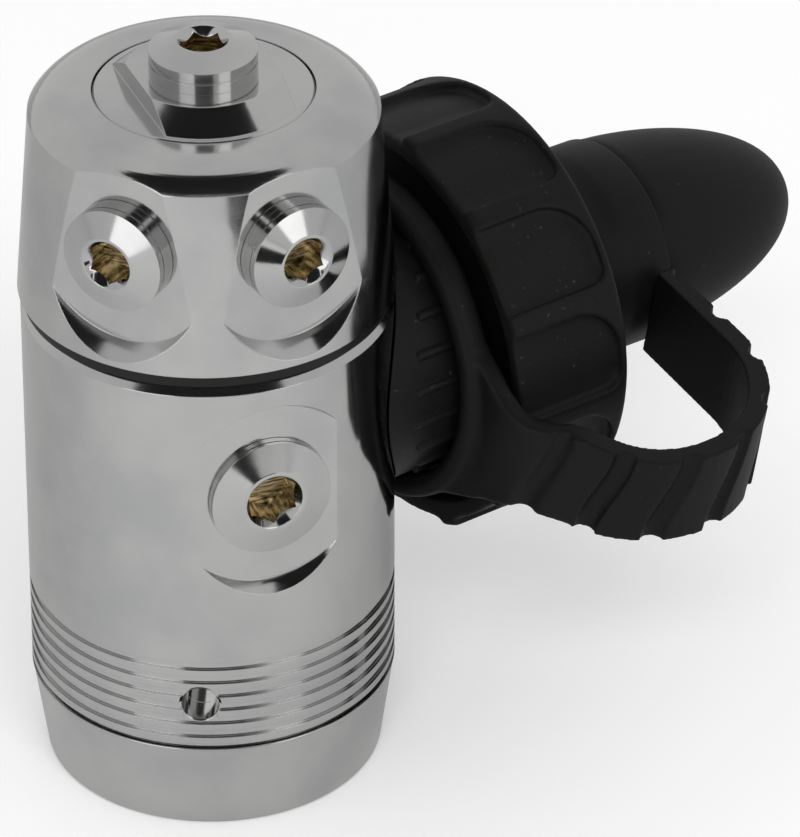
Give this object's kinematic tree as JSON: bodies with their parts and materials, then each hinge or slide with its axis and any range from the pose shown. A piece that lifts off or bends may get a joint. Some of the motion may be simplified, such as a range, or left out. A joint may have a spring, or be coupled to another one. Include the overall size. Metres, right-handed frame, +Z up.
{
  "type": "scuba regulator first stage",
  "caption": "Chromed diving regulator first stage: round body, swivelling port turret, plugged ports, screw-in cylinder coupling with a finger-grip handwheel, rubber dust cap on a strap.",
  "frame": {"origin": "centre of the flat bottom, on the body's axis", "axes": "+Z up along the body's axis, +X along the inlet towards the dust cap"},
  "size_m": [0.1091, 0.0695, 0.0963],
  "materials": {
    "chrome": "satin chrome plate on brass",
    "brass": "machined",
    "grip_plastic": "black moulded grip, fine satin grain",
    "cap_rubber": "black moulded rubber, slight sheen",
    "seal_rubber": "black nitrile",
    "washer_plastic": "black acetal",
    "pale_plastic": "natural acetal",
    "spring_steel": "drawn stainless wire",
    "sintered_bronze": "grainy sintered bronze"
  },
  "bodies": {
    "stage": {"main_body": "chrome", "diaphragm_clamp": "chrome", "end_cap": "chrome", "environment_diaphragm": "seal_rubber", "main_spring": "spring_steel", "main_diaphragm": "seal_rubber", "valve_seat": "brass", "valve_seat_oring": "seal_rubber", "poppet_spring": "spring_steel", "balance_plug": "brass", "balance_oring": "seal_rubber", "swivel_washer": "washer_plastic", "turret_orings": "seal_rubber", "swivel_retainer": "chrome", "top_plug": "chrome", "top_plug_oring": "seal_rubber", "high_pressure_plugs": "chrome", "high_pressure_orings": "seal_rubber", "din_stem": "chrome", "stem_oring": "seal_rubber", "nose_oring": "seal_rubber", "inlet_filter": "sintered_bronze", "filter_clip": "spring_steel", "inlet_collar": "grip_plastic"},
    "turret": {"turret": "chrome", "low_pressure_plugs": "chrome", "low_pressure_orings": "seal_rubber"},
    "handwheel": {"handwheel": "grip_plastic", "din_coupling": "chrome"},
    "strap_ring": {"strap_ring": "cap_rubber", "strap": "cap_rubber"},
    "dust_cap": {"dust_cap": "cap_rubber"},
    "valve": {"load_transmitter": "pale_plastic", "spring_pad": "brass", "valve_lifter": "brass", "poppet": "brass", "poppet_pad": "pale_plastic"},
    "adjusting_screw": {"adjusting_screw": "brass"}
  },
  "joints": [
    {"name": "turret_swivel", "type": "hinge", "parent": "stage", "child": "turret", "pos_m": [0, 0, 0.078], "axis": [0, 0, 1], "continuous": true},
    {"name": "handwheel_turn", "type": "hinge", "parent": "stage", "child": "handwheel", "pos_m": [0.035, 0, 0.0482], "axis": [1, 0, 0], "continuous": true},
    {"name": "cap_ring_swivel", "type": "hinge", "parent": "stage", "child": "strap_ring", "pos_m": [0.0247, 0, 0.0482], "axis": [1, 0, 0], "continuous": true},
    {"name": "dust_cap_pull", "type": "slide", "parent": "strap_ring", "child": "dust_cap", "axis": [1, 0, 0], "range_m": [0, 0.026], "deforming": ["strap"]},
    {"name": "valve_travel", "type": "slide", "parent": "stage", "child": "valve", "axis": [0, 0, 1], "range_m": [-0.0008, 0], "stiffness_N_per_m": 1500, "springref_m": 0.002, "deforming": ["main_spring", "poppet_spring", "main_diaphragm", "environment_diaphragm"]},
    {"name": "spring_adjustment", "type": "hinge", "parent": "stage", "child": "adjusting_screw", "pos_m": [0, 0, 0.0108], "axis": [0, 0, 1], "range_deg": [-180, 180]}
  ]
}
